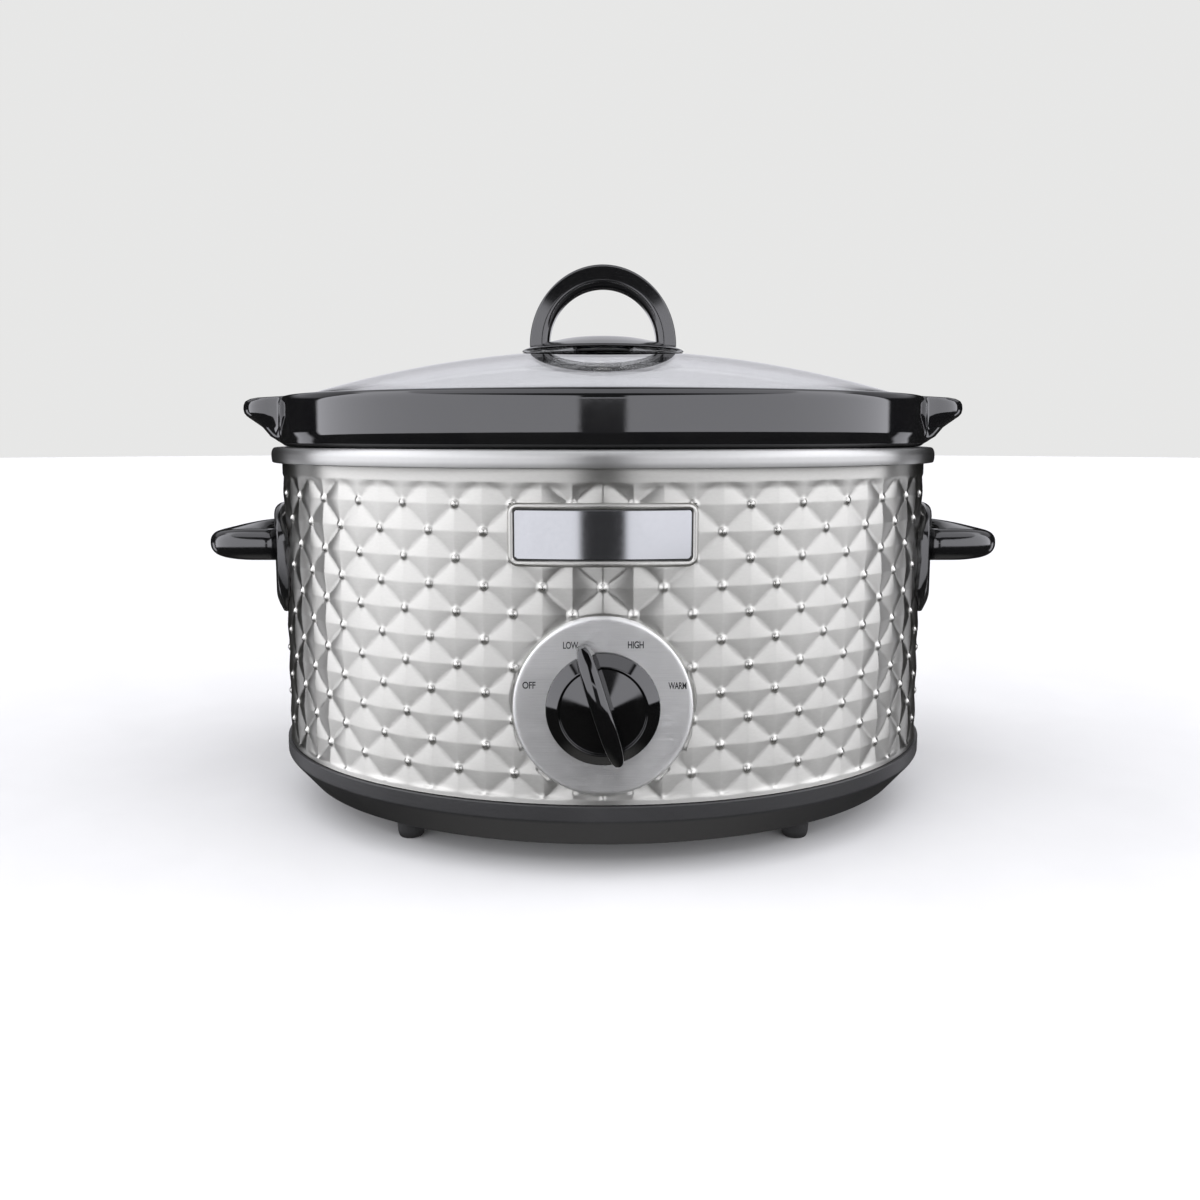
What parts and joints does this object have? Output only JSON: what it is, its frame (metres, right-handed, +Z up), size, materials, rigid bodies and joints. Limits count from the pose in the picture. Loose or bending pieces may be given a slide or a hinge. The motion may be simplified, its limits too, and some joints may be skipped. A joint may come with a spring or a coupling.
{
  "type": "slow cooker",
  "caption": "Oval electric slow cooker: embossed steel housing with side handles and a rotary control, lift-out glazed crock and a clear domed lid with an arched handle.",
  "frame": {"origin": "on the table under the middle of the housing, level with the undersides of the feet", "axes": "+Z up, +X towards the right-hand side handle seen from the front, -Y out through the control knob"},
  "size_m": [0.4042, 0.2983, 0.2719],
  "materials": {
    "brushed_steel": "embossed and lightly brushed stainless sheet",
    "bright_steel": "polished drawn steel",
    "badge_chrome": "polished plate",
    "zinc_steel": "zinc-plated steel",
    "aluminised_sheet": "aluminised sheet",
    "black_glaze": "glossy black glaze on stoneware",
    "black_gloss": "glossy black phenolic",
    "black_matt": "fine-textured black moulding",
    "rubber": "matt black rubber",
    "silicone": "grey silicone",
    "clear_glass": "clear tempered glass",
    "ceramic_white": "unglazed steatite",
    "wire_red": "red lead insulation",
    "wire_white": "white lead insulation"
  },
  "bodies": {
    "housing": {"housing_wrap": "brushed_steel", "heating_pan": "bright_steel", "badge_plate": "badge_chrome", "badge_clip_left": "zinc_steel", "badge_clip_right": "zinc_steel", "band_nut": "zinc_steel", "band_screw": "zinc_steel", "foot_screw_back_left": "zinc_steel", "foot_screw_back_right": "zinc_steel", "foot_screw_front_left": "zinc_steel", "foot_screw_front_right": "zinc_steel", "fuse_clip": "zinc_steel", "handle_screw_left_back": "zinc_steel", "handle_screw_left_front": "zinc_steel", "handle_screw_right_back": "zinc_steel", "handle_screw_right_front": "zinc_steel", "heater_band": "zinc_steel", "shield_nut": "zinc_steel", "switch_nut": "zinc_steel", "tie_nut": "zinc_steel", "tie_stud": "zinc_steel", "tie_washer": "zinc_steel", "heat_shield": "aluminised_sheet", "handle_left": "black_gloss", "handle_right": "black_gloss", "base_tray": "black_matt", "rotary_switch": "black_matt", "foot_back_left": "rubber", "foot_back_right": "rubber", "foot_front_left": "rubber", "foot_front_right": "rubber", "cord_gland": "rubber", "terminal_block": "ceramic_white", "thermal_fuse": "ceramic_white", "lead_line": "wire_red", "lead_neutral": "wire_white", "heater_lead_low": "wire_white", "heater_lead_high": "wire_white"},
    "crock": {"crock": "black_glaze"},
    "lid": {"lid_glass": "clear_glass", "lid_handle": "black_gloss", "lid_gasket": "silicone", "lid_washer": "zinc_steel", "lid_screw": "zinc_steel"},
    "knob": {"control_knob": "black_gloss", "switch_shaft": "zinc_steel", "shaft_clip": "zinc_steel"}
  },
  "joints": [
    {"name": "crock_lift", "type": "slide", "parent": "housing", "child": "crock", "axis": [0, 0, 1], "range_m": [0, 0.16]},
    {"name": "lid_lift", "type": "slide", "parent": "crock", "child": "lid", "axis": [0, 0, 1], "range_m": [0, 0.1]},
    {"name": "knob_turn", "type": "hinge", "parent": "housing", "child": "knob", "pos_m": [0, -0.134, 0.0735], "axis": [0, 1, 0], "range_deg": [-54.7, 89.3]}
  ]
}
